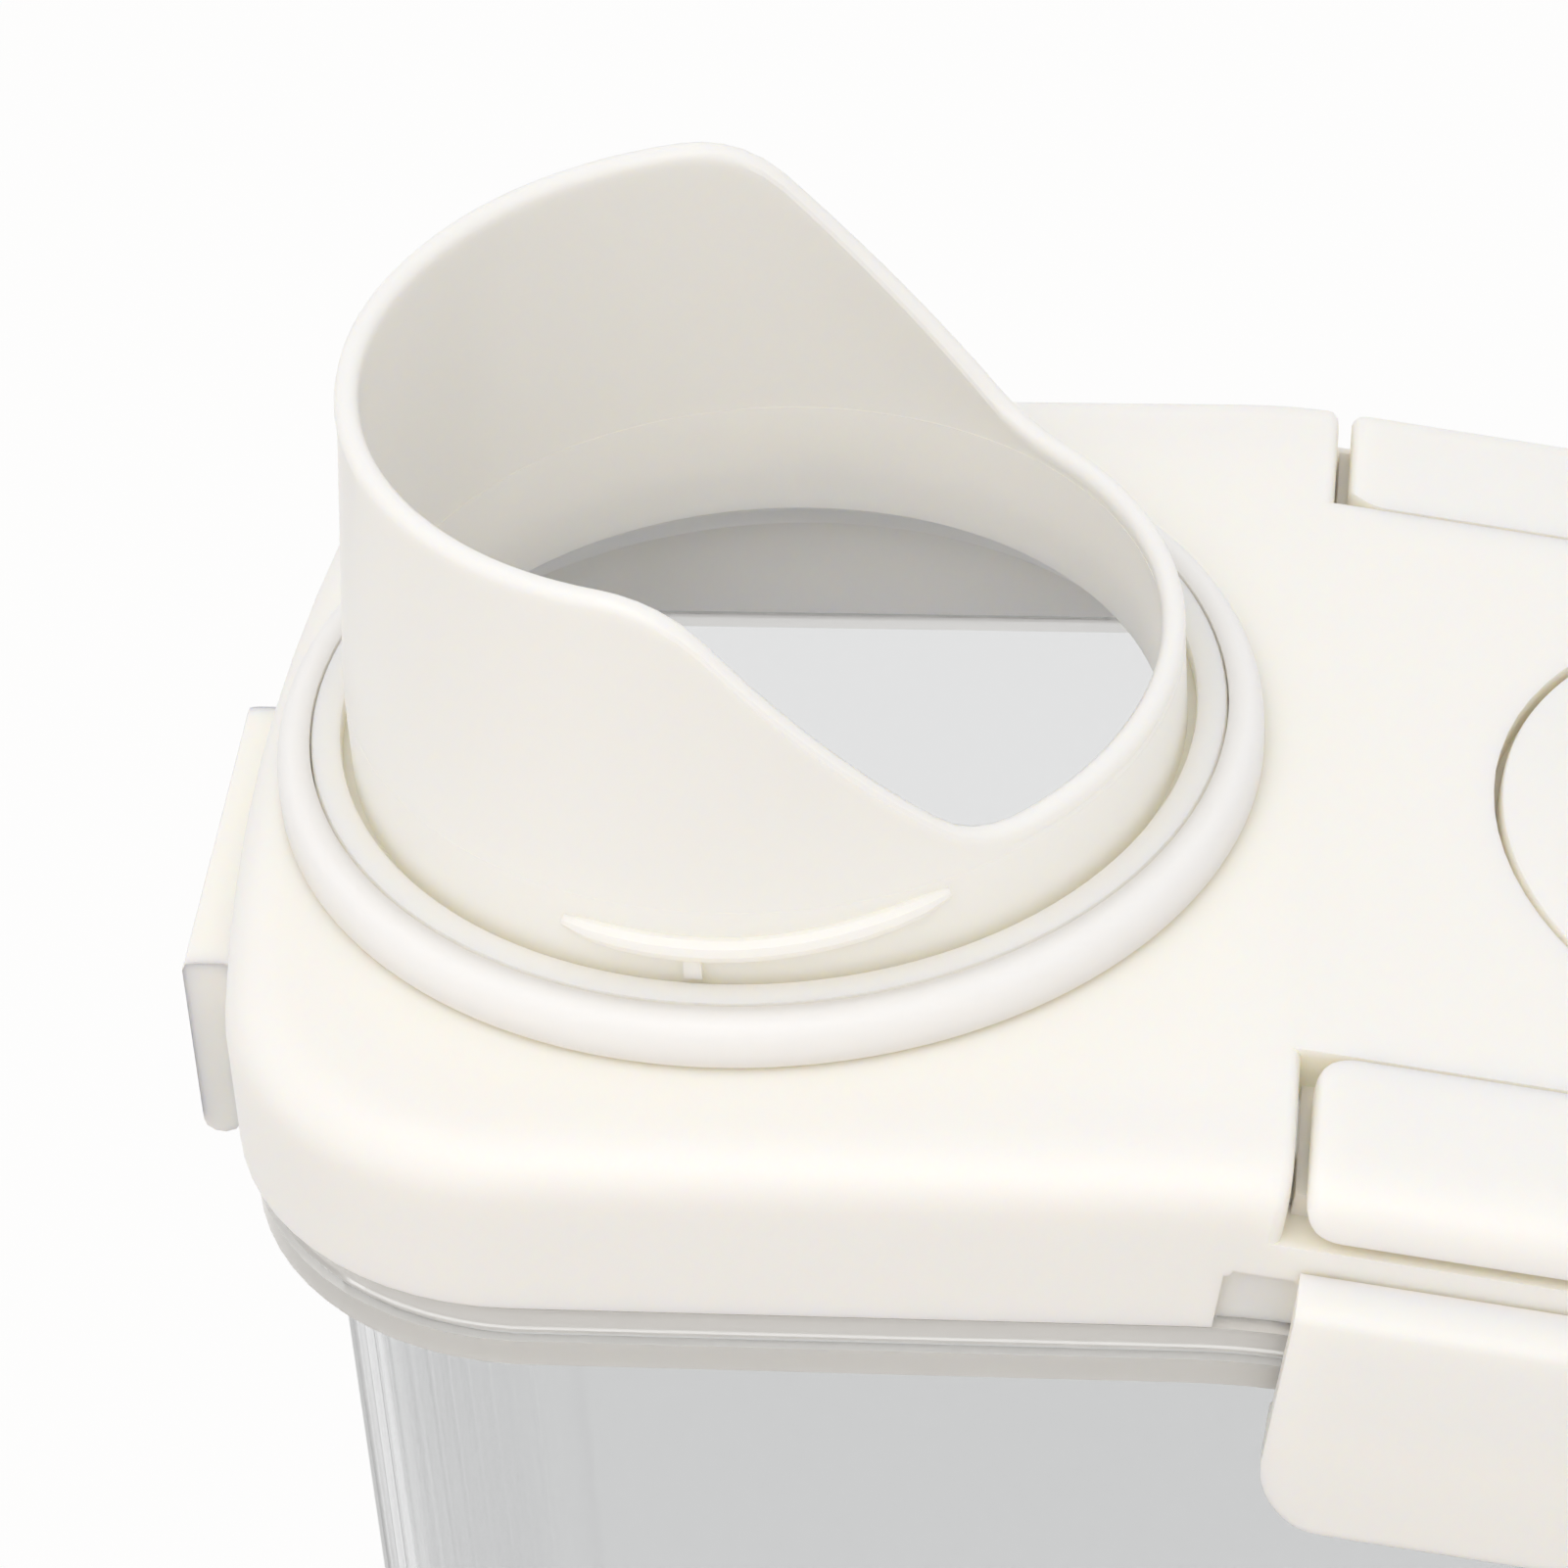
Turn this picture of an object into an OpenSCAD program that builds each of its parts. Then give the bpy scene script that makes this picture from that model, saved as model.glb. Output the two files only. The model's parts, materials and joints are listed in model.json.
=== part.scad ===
// Cereal container with a fixed, slant-cut pour spout and four snap latches.
// Frame: origin on the table under the middle, +X away from the spout, +Y to
// the far long side, +Z up. Millimetres.

/* [Container] */
// height of the lid's level top at the spout end
lid_top = 240; // [160:1:320]
// length of the lid and of the rim under it
lid_len = 241; // [200:1:300]
// width of the lid and of the rim under it
lid_w = 94.4; // [84:0.2:120]
// plan radius of the four corners
corner_r = 23; // [18:1:30]
// plan radius of the slow curve across each end
end_r = 200; // [150:10:600]
// how far the clear wall stands in from the rim's outer edge
wall_inset = 5; // [4:0.1:8]
// thickness of the clear wall
wall = 2; // [1.4:0.1:3]
// how much further in the clear wall stands at the base
wall_draft = 2; // [0.5:0.1:4]
// radius where the wall turns into the base
base_r = 7; // [4:0.5:9]
// how much further in the container stands across its two ends
end_in = 0.9; // [0:0.1:1.2]
// thickness of the base
base_t = 2.6; // [2:0.1:5]
// depth of the hollow under the base
foot_h = 1.2; // [0.6:0.1:3]
// width of the foot that is left around that hollow
foot_w = 7; // [3:0.5:8]

/* [Rim] */
// depth of the rim's lower edge under the lid top
rim_low = 19.4; // [17.6:0.1:24]
// thickness of the rim's flange
rim_t = 2.3; // [1.6:0.1:3]
// thickness of the rim's outer lip
rim_lip_t = 1.7; // [1.2:0.1:2.4]
// gap between the top of that lip and the lid's skirt
rim_gap = 0.4; // [0.2:0.1:1]

/* [Lid] */
// height of the lid's skirt
skirt_h = 13.9; // [12.5:0.1:15]
// thickness of the skirt
skirt_t = 2; // [1.6:0.1:3]
// thickness of the lid's top
lid_t = 2.4; // [1.8:0.1:3]
// radius of the lid's top edge
edge_r = 4; // [3:0.1:5]
// fall of the lid's middle part, in degrees
slope = 10.3; // [4:0.1:12]
// level length of that falling part
slope_run = 87; // [86:0.5:110]
// half length of the soft bend at each end of it
bend_h = 4; // [2:0.5:8]
// depth of the thick band around the lid's underside
band_h = 5; // [4:0.1:6]
// width of that band, from the lid's outer edge
band_w = 9.4; // [8:0.1:12]
// depth of the rib that locates the lid inside the clear wall
plug_h = 16.8; // [14:0.1:20]
// thickness of that rib
plug_t = 1.4; // [1:0.1:2]
// height of the lid's seal
gasket_h = 2.1; // [1.5:0.1:3]
// width of the lid's seal
gasket_w = 3; // [2.4:0.1:3.4]
// width of the notches beside the side latches
notch_w = 5.6; // [3:0.1:8]
// height of those notches
notch_h = 5.4; // [3:0.1:6]
// depth of those notches
notch_d = 1.2; // [0.6:0.1:1.6]

/* [Spout] */
// distance from the lid's spout end to the silicone seal
spout_edge = 2.5; // [1.5:0.1:6]
// outer radius of the tube at its foot
tube_r = 31.3; // [24:0.1:32]
// thickness of the tube
tube_t = 1.55; // [1.2:0.05:2.5]
// height of the tube's straight foot that a cup or cap goes over
neck_h = 9.9; // [9.2:0.1:10]
// how much narrower the tube gets towards its high lip
tube_taper = 1.9; // [0.5:0.1:3]
// height of the high lip over the lid
lip_high = 34.9; // [26:0.1:50]
// height of the low lip over the lid
lip_low = 11.2; // [11.2:0.1:16]
// angle of the slanting cut between the two
cut_angle = 49.5; // [35:0.5:60]
// place of the middle of that cut, along the lid from the axis
cut_mid = 7.1; // [0:0.1:10]
// radius where the high lip turns into the cut
cut_r_high = 10; // [6:0.5:14]
// radius where the cut turns into the low lip
cut_r_low = 7; // [4:0.5:10]
// radius of the rolled lip
lip_r = 0.9; // [0.8:0.01:1]
// width of the groove between the tube and the upright rib around it
groove = 0.7; // [0.5:0.05:1.2]
// depth of that groove under the rib's top
groove_h = 1.5; // [0.8:0.1:2.5]
// thickness of that rib
rib_t = 2.3; // [1.6:0.1:2.4]
// height of that rib
rib_h = 4.1; // [3:0.1:5]
// height of the screw lugs' middle over the lid
lug_z = 6.7; // [6.4:0.1:7]
// rise of a lug from its low part to its end
lug_rise = 2.1; // [1:0.1:2.4]
// half thickness of a lug
lug_r = 1; // [0.5:0.05:1.1]
// how far a lug stands out
lug_out = 1.2; // [0.8:0.1:1.6]
// angle that a lug spans
lug_span = 52; // [30:1:80]
// width of the stop rib under each lug
stop_w = 1.3; // [0.8:0.1:2.5]
// width of the silicone seal around the rib
seal_w = 2.7; // [2:0.1:3.5]
// height of that seal at the rib
seal_h = 3.9; // [3:0.1:4.8]
// height of that seal's outer edge
seal_edge = 1.9; // [1:0.1:2.6]

/* [Latches] */
// length of the two side latches
side_len = 77.6; // [60:0.2:79]
// length of the two end latches
end_len = 31; // [20:0.5:40]
// depth of the side latches' hinge line under the lid top
side_hinge = 7.4; // [7.2:0.1:9]
// depth of the end latches' hinge line under the lid top
end_hinge = 9.3; // [8.6:0.1:10.5]
// height of the side latches under their hinge line
side_drop = 22.8; // [19:0.1:30]
// height of the end latches under their hinge line
end_drop = 16.9; // [14.5:0.1:24]
// how far the side latches stand out from their hinge line
side_out = 3; // [2.6:0.1:4]
// how far the end latches stand out from their hinge line
end_out = 3.7; // [2.8:0.1:4.5]
// thickness of the latches' plates
latch_t = 1.7; // [1.3:0.1:2.2]
// corner radius of the side latches
side_r = 7.2; // [3:0.1:9]
// corner radius of the end latches
end_corner = 2.2; // [1:0.1:4]
// gap between the skirt and a latch's hinge edge
hinge_gap = 0.3; // [0.2:0.05:0.6]
// how far the latches' hooks stand under the rim
hook_low = 0.6; // [0.4:0.1:1.5]

/* [Press pads] */
// distance of the pads' inner edge from the lid's middle
pad_in = 32.4; // [31:0.1:34]
// length of the pads
pad_len = 78.8; // [60:0.2:80]
// thickness of the pads
pad_t = 2.6; // [2:0.1:2.8]
// height of the pads' outer side
pad_side = 4.4; // [4.3:0.05:4.9]
// corner radius of the pads
pad_r = 3; // [1.5:0.1:4]
// slot at each end of a pad
pad_slot = 1.1; // [0.8:0.1:2]
// soft corner of the pads and of the lid beside their slots
pad_soft = 1; // [0.4:0.1:1.4]
// gap under a pad
pad_gap = 0.8; // [0.5:0.1:1]

/* [Moisture disc] */
// radius of the round cover in the lid
disc_r = 26.8; // [20:0.1:28]
// groove around it
disc_gap = 0.6; // [0.3:0.05:1]
// thickness of the cover
disc_t = 2.4; // [1.8:0.1:3]
// outer radius of the cup under it
cup_r = 23; // [16:0.1:24]
// thickness of the cup
cup_t = 1.3; // [1:0.1:2]
// depth of the cup under the lid top
cup_h = 15; // [12:0.5:25]
// number of slots in the cup's floor
cup_slots = 10; // [4:1:16]

/* [Hidden] */
$fn = 96;
Lh = lid_len/2;
Wh = lid_w/2;
bow_x = -Lh + end_r;
corn_x = bow_x - sqrt(pow(end_r - corner_r, 2) - pow(Wh - corner_r, 2));
a_bow = asin((Wh - corner_r)/(end_r - corner_r));
side_x = Wh;
top_open = band_h + gasket_h;
foot_in = min(wall_inset + wall_draft + base_r + foot_w, corner_r - 1.5);
wall_out = wall_inset;
tub_in = pad_t + pad_gap + 1;
seal_out = max(wall_inset + wall/2 - gasket_w/2, tub_in + 0.1);
skin = 0.1;
reach = 30;
tube_in = tube_r - tube_t;
turn_z = neck_h + 0.2;
seat = 1.5;
rib_r = tube_r + groove + rib_t;
seal_r = rib_r + seal_w;
spout_x = -Lh + spout_edge + seal_r;

// height of the lid top over the table along the container
function ramp(t) = t <= -bend_h ? 0 : t >= bend_h ? t : pow(t + bend_h, 2)/(4*bend_h);
function zb(x) = lid_top - tan(slope)*(ramp(x + slope_run/2) - ramp(x - slope_run/2));

// far half of the lid's outline: x, y and the outward direction there
q_end = concat(
  [for (i = [0:3]) let (a = a_bow*i/4)
    [bow_x - end_r*cos(a), end_r*sin(a), -cos(a), sin(a)]],
  [for (i = [0:14]) let (a = a_bow + (90 - a_bow)*i/14)
    [corn_x - corner_r*cos(a), Wh - corner_r + corner_r*sin(a), -cos(a), sin(a)]]);
mid_x = concat([for (t = [-1:0.5:1]) -slope_run/2 + t*bend_h],
  [for (t = [-1:0.5:1]) slope_run/2 + t*bend_h]);
U = concat(q_end, [for (x = mid_x) [x, Wh, 0, 1]],
  [for (i = [len(q_end) - 1:-1:0]) let (p = q_end[i]) [-p[0], p[1], -p[2], p[3]]]);
m = len(U);
N = 2*(m - 1);
// point of the outline at an inset d, and e more across the ends
function edge(i, d, e = 0) =
  let (p = U[i < m ? i : N - i], s = i < m ? 1 : -1, f = d + e*abs(p[2]))
  [p[0] - f*p[2], s*(p[1] - f*p[3])];
function outline(d, e = 0) = [for (i = [0:N - 1]) edge(i, d, e)];

// closed shell through a list of [inset, height, follows the lid]
module loft(levels, e = 0) {
  pts = [for (l = levels) for (i = [0:N - 1]) let (p = edge(i, l[0], e))
    [p[0], p[1], l[2] ? zb(p[0]) + l[1] : l[1]]];
  K = len(levels) - 1;
  sides = [for (k = [0:K - 1]) for (i = [0:N - 1]) for (h = [0, 1])
    let (j = (i + 1) % N, a = k*N, b = (k + 1)*N)
    h == 0 ? [a + i, a + j, b + j] : [a + i, b + j, b + i]];
  cap = concat([[0, 1, N - 1]], [for (i = [1:m - 3]) [i, i + 1, N - i - 1, N - i]],
    [[m - 2, m - 1, m]]);
  top = [for (f = cap) [for (v = f) v + K*N]];
  low = [for (f = cap) [for (i = [len(f) - 1:-1:0]) f[i]]];
  polyhedron(points = pts, faces = concat(sides, top, low));
}

// slab between two depths that follow the falling lid
module band(z1, z2) {
  xs = concat([-Lh - reach], mid_x, [Lh + reach]);
  rotate([90, 0, 0]) linear_extrude(lid_w + 2*reach, center = true)
    polygon(concat([for (x = xs) [x, zb(x) + z1]],
      [for (i = [len(xs) - 1:-1:0]) [xs[i], zb(xs[i]) + z2]]));
}

// plan ring between two insets, cut to a band of depths
module rim_ring(d1, d2, z1, z2, e = 0) {
  intersection() {
    linear_extrude(lid_top + reach) difference() {
      polygon(outline(d1, e));
      polygon(outline(d2, e));
    }
    band(z1, z2);
  }
}

module plate_in(d, z1, z2, e = 0) {
  intersection() {
    linear_extrude(lid_top + reach) polygon(outline(d, e));
    band(z1, z2);
  }
}

// frame of the falling middle part: its middle on the lid top
module on_slope() {
  translate([0, 0, zb(0)]) rotate([0, slope, 0]) children();
}

// flat shape with x across and y up, as a slab along X
module along_x(len) {
  rotate([90, 0, 90]) linear_extrude(len, center = true) children();
}

// the same on both long sides
module both_sides() {
  children();
  mirror([0, 1, 0]) children();
}

// frame of the spout, on the lid top
module at_spout() {
  translate([spout_x, 0, lid_top]) children();
}

// Clear container
function arc_in(d, r, z, n) = [for (i = [0:n]) let (a = 90*i/n)
  [d + r*(1 - sin(a)), z + r*(1 - cos(a)), false]];

module body() {
  color([0.85, 0.87, 0.88, 0.4]) {
    difference() {
      union() {
        loft(concat(arc_in(wall_out + wall_draft, base_r, 0, 6),
          [[wall_out, -top_open - skin, true]]), end_in);
        rim_ring(0, wall_out + wall/2, -rim_low, -rim_low + rim_t, end_in);
        rim_ring(0.8, 0.8 + rim_lip_t, -rim_low + rim_t - 0.5,
          -skirt_h - rim_gap - 0.4, end_in);
        rim_ring(0.35, 0.8 + rim_lip_t, -rim_low + rim_t + 0.6,
          -skirt_h - rim_gap, end_in);
      }
      loft(concat(arc_in(wall_out + wall_draft + wall, base_r - wall, base_t, 5),
        [[wall_out + wall, -top_open + 5, true]]), end_in);
      translate([0, 0, -1]) linear_extrude(foot_h + 1)
        polygon(outline(foot_in, end_in));
    }
  }
}

// Lid
// outline across the lid from its middle to its side, set in by t
function across(t) = concat([[0, -reach], [side_x - t, -reach]],
  [for (a = [0:15:90]) [side_x - edge_r + (edge_r - t)*cos(a),
    -edge_r + (edge_r - t)*sin(a)]], [[0, -t]]);

// bar of that outline from x1 to x2, its ends rounded by r
module soft_bar(x1, x2, r) {
  st = concat([for (a = [0:30:90]) [x1 + r*(1 - cos(a)), r*(1 - sin(a))]],
    [for (a = [90:-30:0]) [x2 - r*(1 - cos(a)), r*(1 - sin(a))]]);
  n = len(across(0));
  pts = [for (p = st) for (q = across(p[1])) [p[0], q[0], q[1]]];
  sides = [for (i = [0:len(st) - 2]) for (k = [0:n - 1])
    [i*n + k, (i + 1)*n + k, (i + 1)*n + (k + 1) % n, i*n + (k + 1) % n]];
  ends = [[for (k = [0:n - 1]) k], [for (k = [n - 1:-1:0]) (len(st) - 1)*n + k]];
  polyhedron(points = pts, faces = concat(sides, ends));
}

module pad_cut() {
  half = pad_len/2 + pad_slot;
  both_sides() on_slope() along_x(2*half)
    polygon([[pad_in, edge_r], [side_x + reach, edge_r], [side_x + reach, -pad_side - 1],
      [side_x - pad_t - pad_gap, -pad_side - 1],
      [side_x - pad_t - pad_gap, -pad_t - pad_gap], [pad_in, -pad_t - pad_gap]]);
  both_sides() on_slope() difference() {
    for (e = [-1, 1]) translate([e*(half + pad_soft/2 - 0.25), 0, 0])
      along_x(pad_soft + 0.5) translate([pad_in, -pad_side - 1])
        square([reach, pad_side + edge_r]);
    soft_bar(half, half + 12, pad_soft);
    soft_bar(-half - 12, -half, pad_soft);
  }
}

module pad_tub() {
  both_sides() on_slope() along_x(pad_len + 2*pad_slot + 3)
    polygon([[pad_in - 1.5, -1], [side_x - 2, -1], [side_x - 0.5, -4],
      [side_x - 0.5, -pad_side - 2.6],
      [side_x - tub_in, -pad_side - 2.6], [side_x - tub_in, 0.2 - band_h],
      [pad_in - 1.5, 0.2 - band_h]]);
}

module notches() {
  for (s = [-1, 1]) for (e = [-1, 1]) on_slope()
    translate([e*(side_len/2 - 0.4 + notch_w/2), s*side_x, -skirt_h + notch_h - 12])
      difference() {
        translate([-notch_w/2, -notch_d, 0]) cube([notch_w, 2*notch_d, 12]);
        for (h = [-1, 1]) translate([h*notch_w/2, 0, 12]) rotate([90, 0, 0])
          cylinder(r = 0.6, h = 8, center = true, $fn = 24);
      }
}

// rib inside the clear wall, its inner face leaning out over the last 4 mm
module locating_rib() {
  difference() {
    plate_in(band_w - plug_t, -plug_h, 1 - band_h, end_in);
    loft([[band_w - plug_t + 0.7, -plug_h - 2, true], [band_w - plug_t + 0.9, -plug_h, true],
      [band_w, 4 - plug_h, true], [band_w, 3 - band_h, true]], end_in);
  }
}

module lid() {
  color([0.98, 0.965, 0.93]) {
    difference() {
      union() {
        difference() {
          loft(concat([[0, -skirt_h, true]], [for (a = [0:15:90])
            [edge_r*(1 - cos(a)), -edge_r*(1 - sin(a)), true]]));
          plate_in(skirt_t, -skirt_h - 5, -band_h);
          plate_in(band_w, -band_h - 1, -lid_t, end_in);
        }
        locating_rib();
        intersection() {
          pad_tub();
          plate_in(0.5, -skirt_h, -0.5);
        }
        on_slope() translate([0, 0, -band_h]) cylinder(r = disc_r + 3, h = band_h - 1);
        at_spout() translate([0, 0, -lid_t]) cylinder(r = seal_r - 0.4, h = lid_t + 0.3);
      }
      pad_cut();
      notches();
      on_slope() translate([0, 0, -disc_t - 0.1])
        cylinder(r = disc_r + disc_gap, h = disc_t + 5);
      on_slope() translate([0, 0, -band_h - 5]) cylinder(r = cup_r + 0.1, h = 12);
      at_spout() translate([0, 0, -seat]) cylinder(r = rib_r + skin, h = seat + 5);
      intersection() {
        at_spout() translate([0, 0, -lid_t - 5]) cylinder(r = rib_r + skin, h = lid_t + 6);
        plate_in(band_w, -reach, 5, end_in);
      }
    }
  }
}

// Spout
// height of the lip over the lid at x from the tube's axis
t_high = cut_r_high*tan(cut_angle/2);
t_low = cut_r_low*tan(cut_angle/2);
x_high = cut_mid - (lip_high - lip_low)/2/tan(cut_angle);
x_low = cut_mid + (lip_high - lip_low)/2/tan(cut_angle);
function lip(x) =
  x < x_high - t_high ? lip_high :
  x < x_high + t_high*cos(cut_angle) ?
    lip_high - cut_r_high + sqrt(pow(cut_r_high, 2) - pow(x - x_high + t_high, 2)) :
  x < x_low - t_low*cos(cut_angle) ?
    (lip_high + lip_low)/2 - (x - cut_mid)*tan(cut_angle) :
  x < x_low + t_low ?
    lip_low + cut_r_low - sqrt(pow(cut_r_low, 2) - pow(x_low + t_low - x, 2)) : lip_low;

// outer radius of the tube at a height over the lid
function tube_at(z) = tube_r - 0.02
  - tube_taper*max(0, z - turn_z)/(lip_high - turn_z);

// wall of the mouth in one radial plane: up the inside, over the lip, down outside
function mouth_wall(top) = let (low = neck_h - 1.5, t = tube_t - 0.06)
  concat([[tube_at(low) - t, low], [tube_at(turn_z) - t, turn_z],
    [tube_at(top) - t, top - lip_r]],
    [for (a = [180:-30:0]) [tube_at(top) - t/2 + lip_r*cos(a), top + lip_r*sin(a) - lip_r/4]],
    [[tube_at(top), top - lip_r], [tube_at(turn_z), turn_z], [tube_at(low), low]]);

// slant-cut upper part of the tube, with its rolled lip
module mouth() {
  M = 120;
  loops = [for (i = [0:M - 1]) mouth_wall(lip((tube_r - 2)*cos(360*i/M)))];
  n = len(loops[0]);
  pts = [for (i = [0:M - 1]) for (q = loops[i])
    [q[0]*cos(360*i/M), q[0]*sin(360*i/M), q[1]]];
  faces = [for (i = [0:M - 1]) for (k = [0:n - 1]) for (h = [0, 1])
    let (a = i*n, b = ((i + 1) % M)*n, k2 = (k + 1) % n)
    h == 0 ? [a + k, b + k, b + k2] : [a + k, b + k2, a + k2]];
  polyhedron(points = pts, faces = faces);
}

// bead through stations of [angle, middle radius, height, half width, half height]
module sweep(st, n) {
  M = len(st);
  pts = [for (s = st) for (k = [0:n - 1]) let (a = 360*k/n, r = s[1] + s[3]*cos(a))
    [r*cos(s[0]), r*sin(s[0]), s[2] + s[4]*sin(a)]];
  side = [for (i = [0:M - 2]) for (k = [0:n - 1]) for (h = [0, 1])
    let (a = i*n, b = (i + 1)*n, k2 = (k + 1) % n)
    h == 0 ? [a + k, b + k2, b + k] : [a + k, a + k2, b + k2]];
  ends = [[for (k = [n - 1:-1:0]) k], [for (k = [0:n - 1]) (M - 1)*n + k]];
  polyhedron(points = pts, faces = concat(side, ends));
}

// one screw lug: low in its middle, rising to one end
module lug() {
  a0 = -111.5;
  rise = min(lug_rise, neck_h - lug_z - lug_r - 0.15);
  sweep([for (i = [0:13]) let (t = i/13, e = sqrt(max(0.2, 1 - pow(2*t - 1, 8))))
    [a0 + lug_span*t, tube_r + 0.1,
     lug_z + (t > 0.4 ? rise*pow((t - 0.4)/0.6, 1.6) : 0.6*pow((0.4 - t)/0.4, 2)),
     (lug_out - 0.1)*e, lug_r*e]], 10);
  rotate([0, 0, a0 + lug_span*0.34]) translate([tube_r - 0.5, -stop_w/2, rib_h + 0.15])
    cube([1.2, stop_w, lug_z - rib_h - 0.15]);
}

// part of the spout's foot that goes through the lid, with a snap bead under it
module foot() {
  at_spout() rotate_extrude($fn = 160) polygon([[tube_in + 2.9, -lid_t + 0.1],
    [rib_r - 0.9, -lid_t - 1.6], [rib_r + 0.3, -lid_t - 1.6],
    [rib_r + 1, -lid_t - 0.9], [rib_r + 1, -lid_t - 0.6], [rib_r + 0.6, -lid_t - skin],
    [rib_r, -lid_t - skin], [rib_r, 0.5 - seat], [tube_in + 1.5, 0.5 - seat]]);
}

module pour_spout() {
  color([0.965, 0.945, 0.89]) {
    intersection() {
      foot();
      plate_in(band_w + skin, -reach, 5, end_in);
    }
    at_spout() {
      rotate_extrude($fn = 160) polygon([[tube_in, 0.2],
        [tube_in + (seat - skin + 0.2)*2.9/(lid_t + 0.1), skin - seat],
        [rib_r, skin - seat], [rib_r, rib_h - 0.5],
        [rib_r - 0.15, rib_h - 0.15], [rib_r - 0.5, rib_h],
        [rib_r - rib_t + 0.4, rib_h], [rib_r - rib_t + 0.1, rib_h - 0.1],
        [rib_r - rib_t, rib_h - 0.4], [rib_r - rib_t, rib_h - groove_h],
        [tube_r, rib_h - groove_h], [tube_r, neck_h], [tube_in, neck_h]]);
      mouth();
      lug();
      rotate([0, 0, 180]) lug();
    }
  }
}

module spout_seal() {
  w = seal_r - rib_r - skin;
  color([0.93, 0.94, 0.95]) at_spout() rotate_extrude($fn = 160)
    polygon(concat([[rib_r + skin, 0.4]], [[seal_r, 0.4]],
      [for (a = [0:15:90]) [rib_r + skin + w*(0.45 + 0.55*cos(a)),
        seal_edge + (seal_h - seal_edge)*sin(a)]], [[rib_r + skin, seal_h]]));
}

module lid_seal() {
  color([0.93, 0.94, 0.95])
    rim_ring(seal_out, seal_out + gasket_w, -band_h - gasket_h, -band_h - skin/2, end_in);
}

// Latches
// hinge edge on the X axis, plate hanging on the -Y side, hook's top at hook under
// the hinge and its tip at tip
module latch(len, drop, corner, flat_top, out, hook, tip) {
  fall = flat_top ? 0 : 1.45;
  intersection() {
    along_x(len) polygon([[0, 0], [-out + 0.9, -fall*0.7], [-out + 0.25, -fall - 0.1],
      [-out, -fall - 0.7], [-out, -drop + 1.3], [-out + 0.15, -drop + 0.7],
      [-out + 0.45, -drop + 0.2], [-out + 0.85, -drop], [-out + latch_t - 0.4, -drop + 0.1],
      [-out + latch_t, -drop + 0.7], [-out + latch_t, -hook - 2.3],
      [tip - 0.1, -hook - 1.1], [tip, -hook - 0.6], [tip - 0.1, -hook],
      [-out + latch_t, -hook],
      [-out + latch_t, -3.6], [-out + latch_t + 0.4, -2.6], [-0.4, -1.6], [0, -1.3]]);
    rotate([90, 0, 0]) linear_extrude(4*out, center = true) {
      translate([-len/2, -drop + corner]) square([len, drop]);
      translate([-len/2 + corner, -drop]) square([len - 2*corner, drop]);
      for (s = [-1, 1]) translate([s*(len/2 - corner), -drop + corner])
        circle(r = corner, $fn = 64);
    }
  }
}

module side_latch() {
  on_slope() translate([0, -side_x - hinge_gap, -side_hinge])
    latch(side_len, side_drop, side_r, false, side_out,
      rim_low + hook_low - side_hinge, -0.05);
}

module end_latch() {
  translate([-Lh - hinge_gap, 0, 0]) rotate([0, 0, -90])
    latch(end_len, end_drop, end_corner, true, end_out,
      rim_low + hook_low - end_hinge, end_in - 0.05);
}

module latch_near() {
  color([0.95, 0.92, 0.87]) side_latch();
}

module latch_far() {
  color([0.95, 0.92, 0.87]) mirror([0, 1, 0]) side_latch();
}

module latch_spout_end() {
  color([0.95, 0.92, 0.87]) translate([0, 0, zb(-Lh) - end_hinge]) end_latch();
}

module latch_back_end() {
  color([0.95, 0.92, 0.87]) translate([0, 0, zb(Lh) - end_hinge]) mirror([1, 0, 0])
    end_latch();
}

// Press pads
// plate from -x to x and from y1 up to y2, its two corners at y1 rounded
function round_two(x, y1, y2, r) = concat([[x, y2], [-x, y2]],
  [for (a = [0:10:90]) [-x + r*(1 - cos(a)), y1 + r*(1 - sin(a))]],
  [for (a = [90:-10:0]) [x - r*(1 - cos(a)), y1 + r*(1 - sin(a))]]);

module pad() {
  on_slope() intersection() {
    soft_bar(-pad_len/2, pad_len/2, pad_soft);
    along_x(pad_len + 2) difference() {
      translate([0, -pad_side - 1]) square([side_x + 1, pad_side + 2]);
      translate([-1, -pad_side - 5]) square([side_x - pad_t + 1, pad_side + 5 - pad_t]);
    }
    translate([0, 0, -10]) linear_extrude(reach)
      polygon(round_two(pad_len/2 + 0.02, pad_in + 0.3, side_x + 5, pad_r));
    rotate([90, 0, 0]) linear_extrude(4*reach, center = true)
      polygon(round_two(pad_len/2 + 0.02, -pad_side, 5, pad_r));
  }
}

module pad_far() {
  color([0.98, 0.965, 0.93]) pad();
}

module pad_near() {
  color([0.98, 0.965, 0.93]) mirror([0, 1, 0]) pad();
}

// Moisture disc
module disc_cover() {
  color([0.98, 0.965, 0.93]) on_slope() rotate_extrude($fn = 128)
    polygon([[0, -disc_t], [disc_r, -disc_t], [disc_r, -0.4], [disc_r - 0.12, -0.12],
      [disc_r - 0.4, 0], [0, 0]]);
}

module moisture_cup() {
  color([0.96, 0.95, 0.93]) on_slope() difference() {
    translate([0, 0, -cup_h]) cylinder(r = cup_r, h = cup_h - disc_t - skin);
    translate([0, 0, -cup_h + cup_t]) cylinder(r = cup_r - cup_t, h = cup_h);
    for (i = [0:cup_slots - 1]) rotate([0, 0, 360*i/cup_slots])
      translate([cup_r*0.3, -1, -cup_h - 1]) cube([cup_r*0.5, 2, cup_t + 2]);
  }
}

body();
lid();
pour_spout();
spout_seal();
lid_seal();
latch_near();
latch_far();
latch_spout_end();
latch_back_end();
pad_near();
pad_far();
disc_cover();
moisture_cup();
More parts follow.
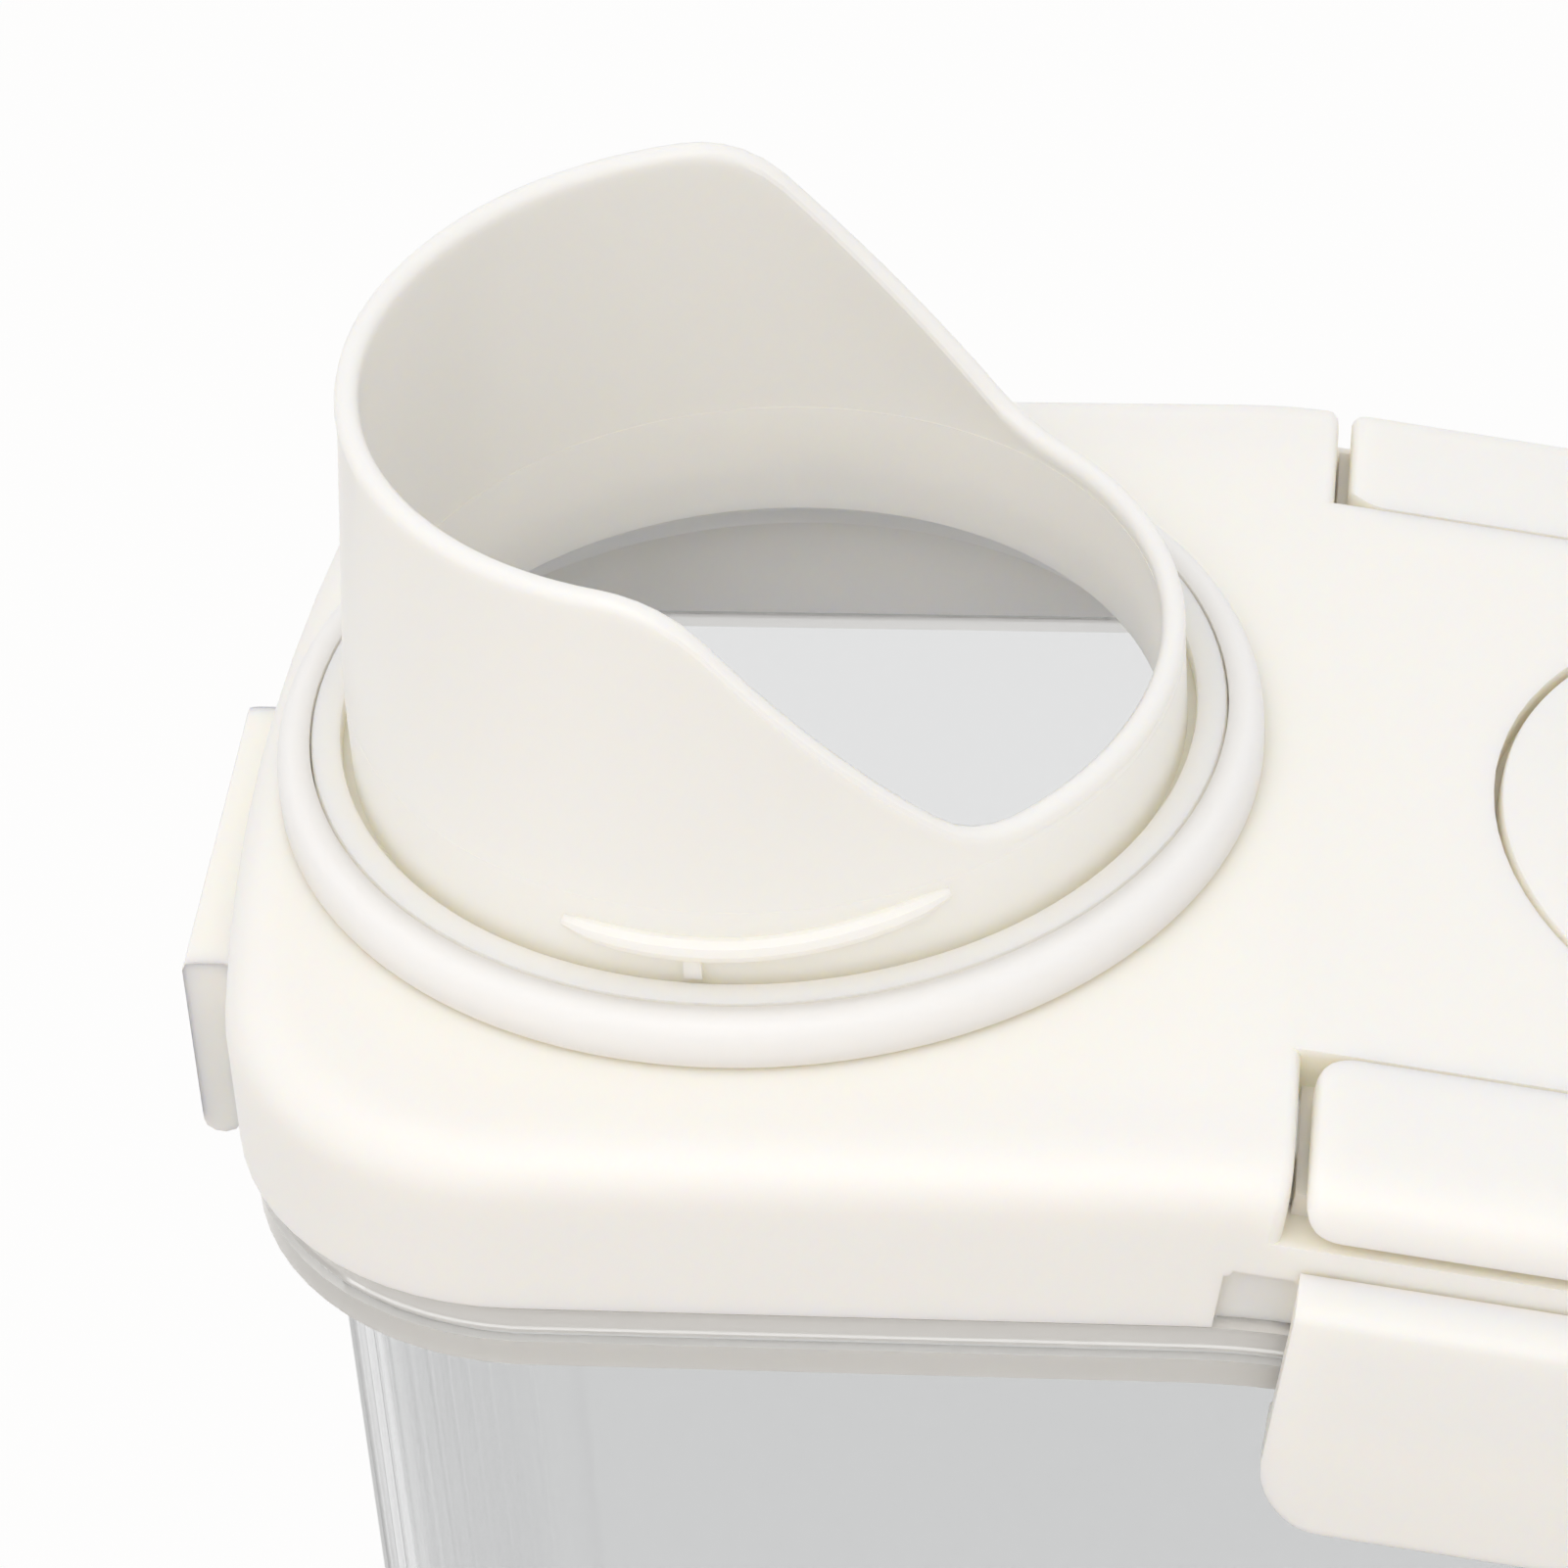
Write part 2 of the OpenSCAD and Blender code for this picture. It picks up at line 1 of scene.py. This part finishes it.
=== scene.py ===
# %% [markdown]
# # A cereal container with a pour spout
# The object is a tall clear container with an off-white press-on lid. Every solid piece comes from the
# CAD model, in metres, with the origin on the table. This file gives the pieces their finishes, adds
# the thin flexible hinges, sets up a pale studio, and puts the camera at the photograph's angle.

# %% Open the CAD model
import math

import bmesh
import bpy
import json
from mathutils import Matrix, Vector


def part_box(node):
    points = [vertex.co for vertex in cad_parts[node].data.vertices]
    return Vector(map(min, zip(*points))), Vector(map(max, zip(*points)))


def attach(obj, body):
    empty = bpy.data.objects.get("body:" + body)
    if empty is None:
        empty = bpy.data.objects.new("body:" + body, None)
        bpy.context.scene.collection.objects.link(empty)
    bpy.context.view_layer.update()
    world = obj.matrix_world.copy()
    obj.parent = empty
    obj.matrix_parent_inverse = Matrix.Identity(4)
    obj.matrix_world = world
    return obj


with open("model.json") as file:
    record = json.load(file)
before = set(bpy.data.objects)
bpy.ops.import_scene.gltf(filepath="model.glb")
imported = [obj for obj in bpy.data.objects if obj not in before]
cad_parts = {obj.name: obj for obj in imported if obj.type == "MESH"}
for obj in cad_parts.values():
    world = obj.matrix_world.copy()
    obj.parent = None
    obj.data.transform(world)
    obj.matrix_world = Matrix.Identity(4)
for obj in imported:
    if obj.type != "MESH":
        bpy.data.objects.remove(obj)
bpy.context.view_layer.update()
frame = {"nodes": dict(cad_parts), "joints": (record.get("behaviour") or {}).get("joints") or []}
scene = bpy.context.scene
mm = 0.001
print("nodes:", ", ".join(sorted(frame["nodes"])))

# %% [markdown]
# ## Places taken from the frame
# The lid's middle part falls away from the spout. Its direction can be read from the joints: the far
# latch turns about a line along that slope, so the joint's axis is the slope itself.

# %% Sizes of the lid and the slope
joints = {joint["name"]: joint for joint in frame["joints"]}
container_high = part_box("body")[1]
along_slope = Vector(joints["far_latch_hinge"]["axis"])
lid_top = container_high.z + 7.2 * mm
print("slope in degrees:", round(math.degrees(math.asin(-along_slope.z)), 2))

# %% [markdown]
# ## The camera
# The picture is taken from a little to the right of the spout, from above, with a long lens. The camera
# looks at a point on the lid beside the spout's axis and is rolled by a few degrees. A camera can be
# turned with angles, but a look-at direction with a roll says more plainly what it does.

# %% Put the camera at the picture's angle
camera_place = Vector((-0.02233, -0.39834, 0.55972))
camera_target = Vector((-0.07958, -0.00445, 0.24000))
camera_roll = math.radians(-4.19)
camera_data = bpy.data.cameras.new("camera")
camera_data.lens = 157.15
camera_data.sensor_width = 36
camera_data.sensor_height = 36
camera = bpy.data.objects.new("camera", camera_data)
scene.collection.objects.link(camera)
look = (camera_target - camera_place).to_track_quat("-Z", "Y")
camera.matrix_world = Matrix.Translation(camera_place) @ look.to_matrix().to_4x4() @ Matrix.Rotation(
    camera_roll, 4, "Z"
)
scene.camera = camera
print("distance to the lid:", round((camera_target - camera_place).length, 3), "m")

# %% [markdown]
# ## Shader maths as Python
# A finish is a small network of nodes. Wiring it by hand is long, so one class wraps a socket: an
# expression such as 0.3 + 0.1 * noise then adds its Math nodes by itself. Any other node comes from
# one method, which takes the node's type, its settings and its inputs.


# %% A socket that can be added and multiplied
class Value:
    def __init__(self, tree, socket):
        self.tree = tree
        self.socket = socket

    def math(self, operation, first, second):
        return Finish.add(self.tree, "ShaderNodeMath", {"operation": operation}, {0: first, 1: second})

    def __add__(self, other):
        return self.math("ADD", self, other)

    def __radd__(self, other):
        return self.math("ADD", other, self)

    def __sub__(self, other):
        return self.math("SUBTRACT", self, other)

    def __rsub__(self, other):
        return self.math("SUBTRACT", other, self)

    def __mul__(self, other):
        return self.math("MULTIPLY", self, other)

    def __rmul__(self, other):
        return self.math("MULTIPLY", other, self)


class Finish:
    def __init__(self, name):
        self.material = bpy.data.materials.new(name)
        self.material.use_nodes = True
        self.tree = self.material.node_tree
        self.tree.nodes.clear()
        self.output = self.tree.nodes.new("ShaderNodeOutputMaterial")

    @staticmethod
    def add(tree, kind, settings=None, inputs=None, out=0):
        node = tree.nodes.new(kind)
        for key, value in (settings or {}).items():
            setattr(node, key, value)
        for key, value in (inputs or {}).items():
            socket = node.inputs[key]
            if isinstance(value, Value):
                tree.links.new(value.socket, socket)
            else:
                socket.default_value = value
        return Value(tree, node.outputs[out])

    def node(self, kind, settings=None, inputs=None, out=0):
        return Finish.add(self.tree, kind, settings, inputs, out)

    def show(self, shader):
        self.tree.links.new(shader.socket, self.output.inputs["Surface"])
        return self.material


print("shader helper ready")

# %% [markdown]
# ## Moulded plastic
# The lid, the latches and the pads are one cream-white plastic with a satin shine. Light goes a
# millimetre or two into it and comes back warmer, which is why the slots look golden. Subsurface
# scattering does that. A faint noise on the roughness and a very fine bump keep it from looking ideal.
# Scattering alone leaves deep places too grey, so an Ambient Occlusion node, which measures how far a
# point is closed in, paints the colour there lighter and more golden: painted light that stands in for the
# light bouncing inside the plastic.


# %% The cream plastics
def moulded_plastic(name, colour, painted_recess_glow, roughness, depth):
    finish = Finish(name)
    place = finish.node("ShaderNodeTexCoord", out="Object")
    mottle = finish.node("ShaderNodeTexNoise", inputs={"Vector": place, "Scale": 35.0, "Detail": 3.0})
    grain = finish.node("ShaderNodeTexNoise", inputs={"Vector": place, "Scale": 900.0, "Detail": 2.0})
    relief = finish.node(
        "ShaderNodeBump", inputs={"Height": grain, "Strength": 0.04, "Distance": 0.05 * mm}
    )
    # Painted light: closed-in places get a lighter, more golden colour than the open surface.
    painted_glow_openness = finish.node(
        "ShaderNodeAmbientOcclusion", {"samples": 8}, {"Distance": 20 * mm}, out=1
    )
    colour_with_painted_light = finish.node(
        "ShaderNodeMix", {"data_type": "RGBA"}, {0: painted_glow_openness, 6: (*painted_recess_glow, 1.0), 7: (*colour, 1.0)}, out=2
    )
    shader = finish.node(
        "ShaderNodeBsdfPrincipled",
        inputs={
            "Base Color": colour_with_painted_light,
            "Roughness": roughness + 0.06 * (mottle - 0.5),
            "Normal": relief,
            "IOR": 1.5,
            "Subsurface Weight": 0.8,
            "Subsurface Radius": (1.0, 0.85, 0.6),
            "Subsurface Scale": depth,
        },
    )
    return finish.show(shader)


# The second colour is painted light: the lighter golden colour given to closed-in places.
lid_plastic = moulded_plastic("lid_plastic", (0.955, 0.912, 0.882), (1.0, 0.93, 0.80), 0.34, 2.0 * mm)
spout_plastic = moulded_plastic("spout_plastic", (0.96, 0.915, 0.865), (1.0, 0.95, 0.83), 0.3, 4.0 * mm)
print("made", lid_plastic.name, "and", spout_plastic.name)

# %% [markdown]
# ## Silicone
# The ring around the spout is milky silicone: paler and cooler than the plastic, and softly lit from
# inside. More scattering than in the plastic gives most of that look; a warmer, lighter colour in closed-in
# places is painted light.


# %% The milky silicone
def milky_silicone():
    finish = Finish("silicone")
    place = finish.node("ShaderNodeTexCoord", out="Object")
    cloud = finish.node("ShaderNodeTexNoise", inputs={"Vector": place, "Scale": 60.0, "Detail": 2.0})
    # Painted light: closed-in places around the ring turn warmer and lighter, standing in for light
    # scattering across the gaps.
    painted_glow_openness = finish.node("ShaderNodeAmbientOcclusion", {"samples": 8}, {"Distance": 6 * mm}, out=1)
    milk, edge = (0.94, 0.915, 0.90, 1.0), (1.0, 0.95, 0.87, 1.0)
    colour_with_painted_light = finish.node("ShaderNodeMix", {"data_type": "RGBA"}, {0: painted_glow_openness, 6: edge, 7: milk}, out=2)
    shader = finish.node(
        "ShaderNodeBsdfPrincipled",
        inputs={
            "Base Color": colour_with_painted_light,
            "Roughness": 0.4 + 0.1 * (cloud - 0.5),
            "IOR": 1.41,
            "Subsurface Weight": 0.8,
            "Subsurface Radius": (1.0, 0.95, 0.9),
            "Subsurface Scale": 3.0 * mm,
        },
    )
    return finish.show(shader)


silicone = milky_silicone()
print("made", silicone.name)

# %% [markdown]
# ## Clear plastic
# The container is clear, slightly grey plastic. The CAD wall is a closed solid with two faces, so real
# refraction works: the rim bends the light and shows bright and dark lines, as the real one does. Light
# crosses the rim many more times than the wall, so one grey for both would turn the rim black: the wall
# keeps the plastic's grey, and the rim is left untinted, which is painted light. The height on the object
# says which is which: the rim lies above a line that runs level, falls with the lid, and runs level again.
# A pale diffuse mixed in there is a painted reflection: it stands for the many small reflections of the real
# rim's edges.


# %% The clear plastic
rim_depth = 12.5 * mm
fall_from = -43.5 * mm
fall_length = 87.0 * mm
steepness = -along_slope.z / along_slope.x
rim_under = container_high.z - rim_depth
rim_under_back = rim_under - fall_length * steepness
print("underside of the rim:", round(rim_under, 4), "to", round(rim_under_back, 4))


def clear_plastic():
    finish = Finish("clear_plastic")
    place = finish.node("ShaderNodeTexCoord", out="Object")
    waves = finish.node("ShaderNodeTexNoise", inputs={"Vector": place, "Scale": 12.0, "Detail": 1.0})
    relief = finish.node("ShaderNodeBump", inputs={"Height": waves, "Strength": 0.05, "Distance": 1.0 * mm})
    along = finish.node("ShaderNodeSeparateXYZ", inputs={0: place}, out=0)
    height = finish.node("ShaderNodeSeparateXYZ", inputs={0: place}, out=2)
    falling = rim_under - steepness * (along - fall_from)
    underside = along.math("MINIMUM", along.math("MAXIMUM", falling, rim_under_back), rim_under)
    rim = height.math("GREATER_THAN", height, underside)
    # The wall keeps the plastic's grey; the rim is painted light: left untinted so it stays bright.
    colour_with_painted_light = finish.node(
        "ShaderNodeMix",
        {"data_type": "RGBA"},
        {0: rim, 6: (0.765, 0.768, 0.77, 1.0), 7: (1.0, 1.0, 0.995, 1.0)},
        out=2,
    )
    shader = finish.node(
        "ShaderNodeBsdfPrincipled",
        inputs={
            "Base Color": colour_with_painted_light,
            "Roughness": 0.02,
            "Normal": relief,
            "IOR": 1.45,
            "Transmission Weight": 1.0,
        },
    )
    # Painted reflection: a pale diffuse on the rim stands for the small reflections of its edges.
    painted_rim_reflection = finish.node("ShaderNodeBsdfDiffuse", inputs={"Color": (0.95, 0.95, 0.935, 1.0)})
    share = 0.52 * rim
    return finish.show(finish.node("ShaderNodeMixShader", inputs={0: share, 1: shader, 2: painted_rim_reflection}))


clear = clear_plastic()
print("made", clear.name)

# %% [markdown]
# ## Finishes on the CAD pieces
# Each CAD node keeps its shape and gets its material. The CAD mesh is loose triangles, so a small
# Geometry Nodes modifier joins them while it renders and shades every edge under an angle smooth. A
# copy with edited normals would do the same, but the modifier leaves the CAD mesh as it is.


# %% Smooth shading up to an angle
def soft_edges_tree(name):
    tree = bpy.data.node_groups.new(name, "GeometryNodeTree")
    tree.interface.new_socket("Geometry", in_out="INPUT", socket_type="NodeSocketGeometry")
    angle = tree.interface.new_socket("Angle", in_out="INPUT", socket_type="NodeSocketFloat")
    angle.default_value = math.radians(32)
    tree.interface.new_socket("Geometry", in_out="OUTPUT", socket_type="NodeSocketGeometry")
    entry = tree.nodes.new("NodeGroupInput")
    leave = tree.nodes.new("NodeGroupOutput")
    merge = tree.nodes.new("GeometryNodeMergeByDistance")
    merge.inputs["Distance"].default_value = 0.002 * mm
    drop = tree.nodes.new("GeometryNodeRemoveAttribute")
    drop.inputs["Name"].default_value = "custom_normal"
    smooth = tree.nodes.new("GeometryNodeSetShadeSmooth")
    edges = tree.nodes.new("GeometryNodeInputMeshEdgeAngle")
    steep = tree.nodes.new("FunctionNodeCompare")
    sharp = tree.nodes.new("GeometryNodeSetShadeSmooth")
    sharp.domain = "EDGE"
    sharp.inputs["Shade Smooth"].default_value = False
    link = tree.links.new
    link(entry.outputs["Geometry"], drop.inputs["Geometry"])
    link(drop.outputs["Geometry"], merge.inputs["Geometry"])
    link(merge.outputs["Geometry"], smooth.inputs["Geometry"])
    link(smooth.outputs["Geometry"], sharp.inputs["Geometry"])
    link(edges.outputs["Unsigned Angle"], steep.inputs["A"])
    link(entry.outputs["Angle"], steep.inputs["B"])
    link(steep.outputs["Result"], sharp.inputs["Selection"])
    link(sharp.outputs["Geometry"], leave.inputs["Geometry"])
    return tree


soft_edges = soft_edges_tree("soft_edges")
finish_of_node = {
    "body": clear,
    "lid": lid_plastic,
    "pour_spout": spout_plastic,
    "spout_seal": silicone,
    "lid_seal": silicone,
    "moisture_cup": spout_plastic,
}
for node_name, node in frame["nodes"].items():
    node.data.materials.clear()
    node.data.materials.append(finish_of_node.get(node_name, lid_plastic))
    modifier = node.modifiers.new("soft_edges", "NODES")
    modifier.node_group = soft_edges
print("finished nodes:", len(frame["nodes"]))

# %% [markdown]
# ## Living hinges
# A latch or a pad hangs on a film of plastic a few tenths of a millimetre thick, which bends. The CAD
# leaves a hair's breadth for it. Here each film is a thin round bead along the hinge line. One tree
# with named ends and a thickness makes all six, and each becomes a plain mesh.


# %% A tree that makes a bead between two points
def bead_tree(name):
    tree = bpy.data.node_groups.new(name, "GeometryNodeTree")
    for label in ("Start", "End"):
        tree.interface.new_socket(label, in_out="INPUT", socket_type="NodeSocketVector")
    tree.interface.new_socket("Radius", in_out="INPUT", socket_type="NodeSocketFloat")
    tree.interface.new_socket("Finish", in_out="INPUT", socket_type="NodeSocketMaterial")
    tree.interface.new_socket("Geometry", in_out="OUTPUT", socket_type="NodeSocketGeometry")
    entry = tree.nodes.new("NodeGroupInput")
    leave = tree.nodes.new("NodeGroupOutput")
    path = tree.nodes.new("GeometryNodeCurvePrimitiveLine")
    ring = tree.nodes.new("GeometryNodeCurvePrimitiveCircle")
    ring.inputs["Resolution"].default_value = 10
    sweep = tree.nodes.new("GeometryNodeCurveToMesh")
    sweep.inputs["Fill Caps"].default_value = True
    real = tree.nodes.new("GeometryNodeRealizeInstances")
    paint = tree.nodes.new("GeometryNodeSetMaterial")
    link = tree.links.new
    link(entry.outputs["Start"], path.inputs["Start"])
    link(entry.outputs["End"], path.inputs["End"])
    link(entry.outputs["Radius"], ring.inputs["Radius"])
    link(path.outputs["Curve"], sweep.inputs["Curve"])
    link(ring.outputs["Curve"], sweep.inputs["Profile Curve"])
    link(sweep.outputs["Mesh"], real.inputs["Geometry"])
    link(real.outputs["Geometry"], paint.inputs["Geometry"])
    link(entry.outputs["Finish"], paint.inputs["Material"])
    link(paint.outputs["Geometry"], leave.inputs["Geometry"])
    return tree


def plain_mesh_from(tree, name, values):
    maker = bpy.data.objects.new(name + "_maker", bpy.data.meshes.new(name + "_maker"))
    scene.collection.objects.link(maker)
    modifier = maker.modifiers.new("tree", "NODES")
    modifier.node_group = tree
    for item in tree.interface.items_tree:
        if item.item_type == "SOCKET" and item.in_out == "INPUT" and item.name in values:
            modifier[item.identifier] = values[item.name]
    shape = bpy.data.meshes.new_from_object(maker.evaluated_get(bpy.context.evaluated_depsgraph_get()))
    bpy.data.objects.remove(maker)
    piece = bpy.data.objects.new(name, shape)
    scene.collection.objects.link(piece)
    return piece


bead = bead_tree("hinge_bead")
print("tree ready:", bead.name)


# %% The six hinge films
def hinge_film(name, joint_name, direction, length, shift, radius):
    middle = Vector(joints[joint_name]["pos_m"]) + shift
    half = direction.normalized() * (length / 2)
    values = {"Start": middle - half, "End": middle + half, "Radius": radius, "Finish": lid_plastic}
    piece = plain_mesh_from(bead, name, values)
    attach(piece, "lid")
    return piece


across = Vector((0, 1, 0))
down = along_slope.cross(across).normalized() * -1
latch_film = 70 * mm
end_film = 26 * mm
pad_film = 66 * mm
film_radius = 0.3 * mm
films = {
    "near_latch_film": ("near_latch_hinge", along_slope, latch_film, down * 0.7 * mm + across * 0.2 * mm),
    "far_latch_film": ("far_latch_hinge", along_slope, latch_film, down * 0.7 * mm - across * 0.2 * mm),
    "spout_end_latch_film": ("spout_end_latch_hinge", across, end_film, Vector((0.2 * mm, 0, -0.7 * mm))),
    "back_end_latch_film": ("back_end_latch_hinge", across, end_film, Vector((-0.2 * mm, 0, -0.7 * mm))),
    "near_pad_film": ("near_pad_press", along_slope, pad_film, across * 0.15 * mm),
    "far_pad_film": ("far_pad_press", along_slope, pad_film, across * -0.15 * mm),
}
for film_name, (joint_name, direction, length, shift) in films.items():
    hinge_film(film_name, joint_name, direction, length, shift, film_radius)
print("hinge films:", len(films))

# %% [markdown]
# ## End cheeks
# The two short end latches are closed at their ends by a cheek, a plate that follows the latch's
# profile and rides with it. The profile is written once, as distances outwards from the hinge and
# down from it, and is drawn at both ends of each latch.


# %% The cheeks of the end latches
cheek_thickness = 1.5 * mm
cheek_proud = 0.02 * mm
cheek_profile = [
    (0.4, -0.05), (2.8, -0.05), (3.4, -0.18), (3.69, -0.8), (3.69, -15.6), (3.5, -16.25), (2.9, -16.75),
    (2.1, -16.88), (1.3, -16.6), (0.8, -15.9), (0.7, -15.2), (0.7, -13.0), (0.1, -3.0), (0.05, -0.5),
]


def end_cheeks(name, joint_name, latch_name, body_name):
    hinge = Vector(joints[joint_name]["pos_m"])
    outwards = 1 if hinge.x > 0 else -1
    half_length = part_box(latch_name)[1].y
    corners, faces = [], []
    for side in (-1, 1):
        for depth in (cheek_thickness, -cheek_proud):
            for out, height in cheek_profile:
                y = side * (half_length - depth)
                corners.append((hinge.x + outwards * out * mm, y, hinge.z + height * mm))
    count = len(cheek_profile)
    for start in (0, 2 * count):
        inner = list(range(start, start + count))
        outer = [index + count for index in inner]
        faces += [inner[::-1], outer]
        faces += [(inner[i], inner[(i + 1) % count], outer[(i + 1) % count], outer[i]) for i in range(count)]
    mesh = bpy.data.meshes.new(name)
    mesh.from_pydata(corners, [], faces)
    shell = bmesh.new()
    shell.from_mesh(mesh)
    bmesh.ops.recalc_face_normals(shell, faces=shell.faces)
    shell.to_mesh(mesh)
    shell.free()
    piece = bpy.data.objects.new(name, mesh)
    scene.collection.objects.link(piece)
    piece.data.materials.append(lid_plastic)
    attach(piece, body_name)
    return piece


end_cheeks("spout_end_cheeks", "spout_end_latch_hinge", "latch_spout_end", "spout_end_latch")
end_cheeks("back_end_cheeks", "back_end_latch_hinge", "latch_back_end", "back_end_latch")
print("cheeks: 4, on 2 latches")

# %% [markdown]
# ## The floor and the white background
# The picture's background is white right around the object, and the camera looks down on it, so the
# floor has to look white and still hold a soft shadow. Light Path's Is Camera Ray lets the floor show
# mostly plain white to the camera and to rays that pass through the clear wall.


# %% A pale floor
def floor_finish():
    finish = Finish("floor_white")
    seen = finish.node("ShaderNodeLightPath", out="Is Camera Ray")
    mirrored = finish.node("ShaderNodeLightPath", out="Is Glossy Ray")
    through = finish.node("ShaderNodeLightPath", out="Is Transmission Ray")
    paper = finish.node("ShaderNodeBsdfDiffuse", inputs={"Color": (0.84, 0.785, 0.73, 1.0)})
    white = finish.node("ShaderNodeEmission", inputs={"Color": (1.0, 1.0, 1.0, 1.0), "Strength": 1.0})
    share = 0.94 * (seen + mirrored + through)
    return finish.show(finish.node("ShaderNodeMixShader", inputs={0: share, 1: paper, 2: white}))


floor_mesh = bpy.data.meshes.new("floor")
reach = 4.0
corners = [(-reach, -reach, 0), (reach, -reach, 0), (reach, reach, 0), (-reach, reach, 0)]
floor_mesh.from_pydata(corners, [], [(0, 1, 2, 3)])
floor = bpy.data.objects.new("floor", floor_mesh)
scene.collection.objects.link(floor)
floor.data.materials.append(floor_finish())
print("floor is", 2 * reach, "m wide")

# %% [markdown]
# ## Soft studio light
# The pale room gives most of the light. A weak softbox high over the near left side lifts the top a
# little above the sides, and one in front, also high, opens the near side.


# %% The room
world = bpy.data.worlds.new("room")
world.use_nodes = True
scene.world = world
sky = world.node_tree
sky.nodes.clear()
path = sky.nodes.new("ShaderNodeLightPath")
white_room = sky.nodes.new("ShaderNodeBackground")
white_room.inputs["Color"].default_value = (1.0, 1.0, 1.0, 1.0)
white_room.inputs["Strength"].default_value = 1.0
lit_room = sky.nodes.new("ShaderNodeBackground")
lit_room.inputs["Color"].default_value = (1.0, 1.0, 1.0, 1.0)
lit_room.inputs["Strength"].default_value = 0.8
choice = sky.nodes.new("ShaderNodeMixShader")
ends = sky.nodes.new("ShaderNodeOutputWorld")
shown = None
for kind in ("Is Camera Ray", "Is Glossy Ray", "Is Transmission Ray"):
    either = sky.nodes.new("ShaderNodeMath")
    either.operation = "MAXIMUM"
    either.inputs[1].default_value = 0.0
    sky.links.new(path.outputs[kind], either.inputs[0])
    if shown:
        sky.links.new(shown, either.inputs[1])
    shown = either.outputs[0]
sky.links.new(shown, choice.inputs[0])
sky.links.new(lit_room.outputs[0], choice.inputs[1])
sky.links.new(white_room.outputs[0], choice.inputs[2])
sky.links.new(choice.outputs[0], ends.inputs["Surface"])
print("room strength:", lit_room.inputs["Strength"].default_value)


# %% The softboxes
def softbox(name, place, target, width, power, colour):
    data = bpy.data.lights.new(name, "AREA")
    data.shape = "SQUARE"
    data.size = width
    data.energy = power
    data.color = colour
    lamp = bpy.data.objects.new(name, data)
    scene.collection.objects.link(lamp)
    aim = (Vector(target) - Vector(place)).to_track_quat("-Z", "Y")
    lamp.matrix_world = Matrix.Translation(place) @ aim.to_matrix().to_4x4()
    return lamp


lid_middle = (-0.05, 0, lid_top)
softbox("key", (-0.45, -0.35, 1.35), lid_middle, 0.9, 1.5, (1.0, 0.99, 1.0))
softbox("front", (-0.1, -0.9, 1.2), lid_middle, 0.9, 3.5, (1.0, 0.92, 0.84))
print("softboxes: 2")

# %% [markdown]
# ## Close
# The view transform stays Standard, so a colour renders as it is written.

# %% Keep colours as written
scene.view_settings.view_transform = "Standard"
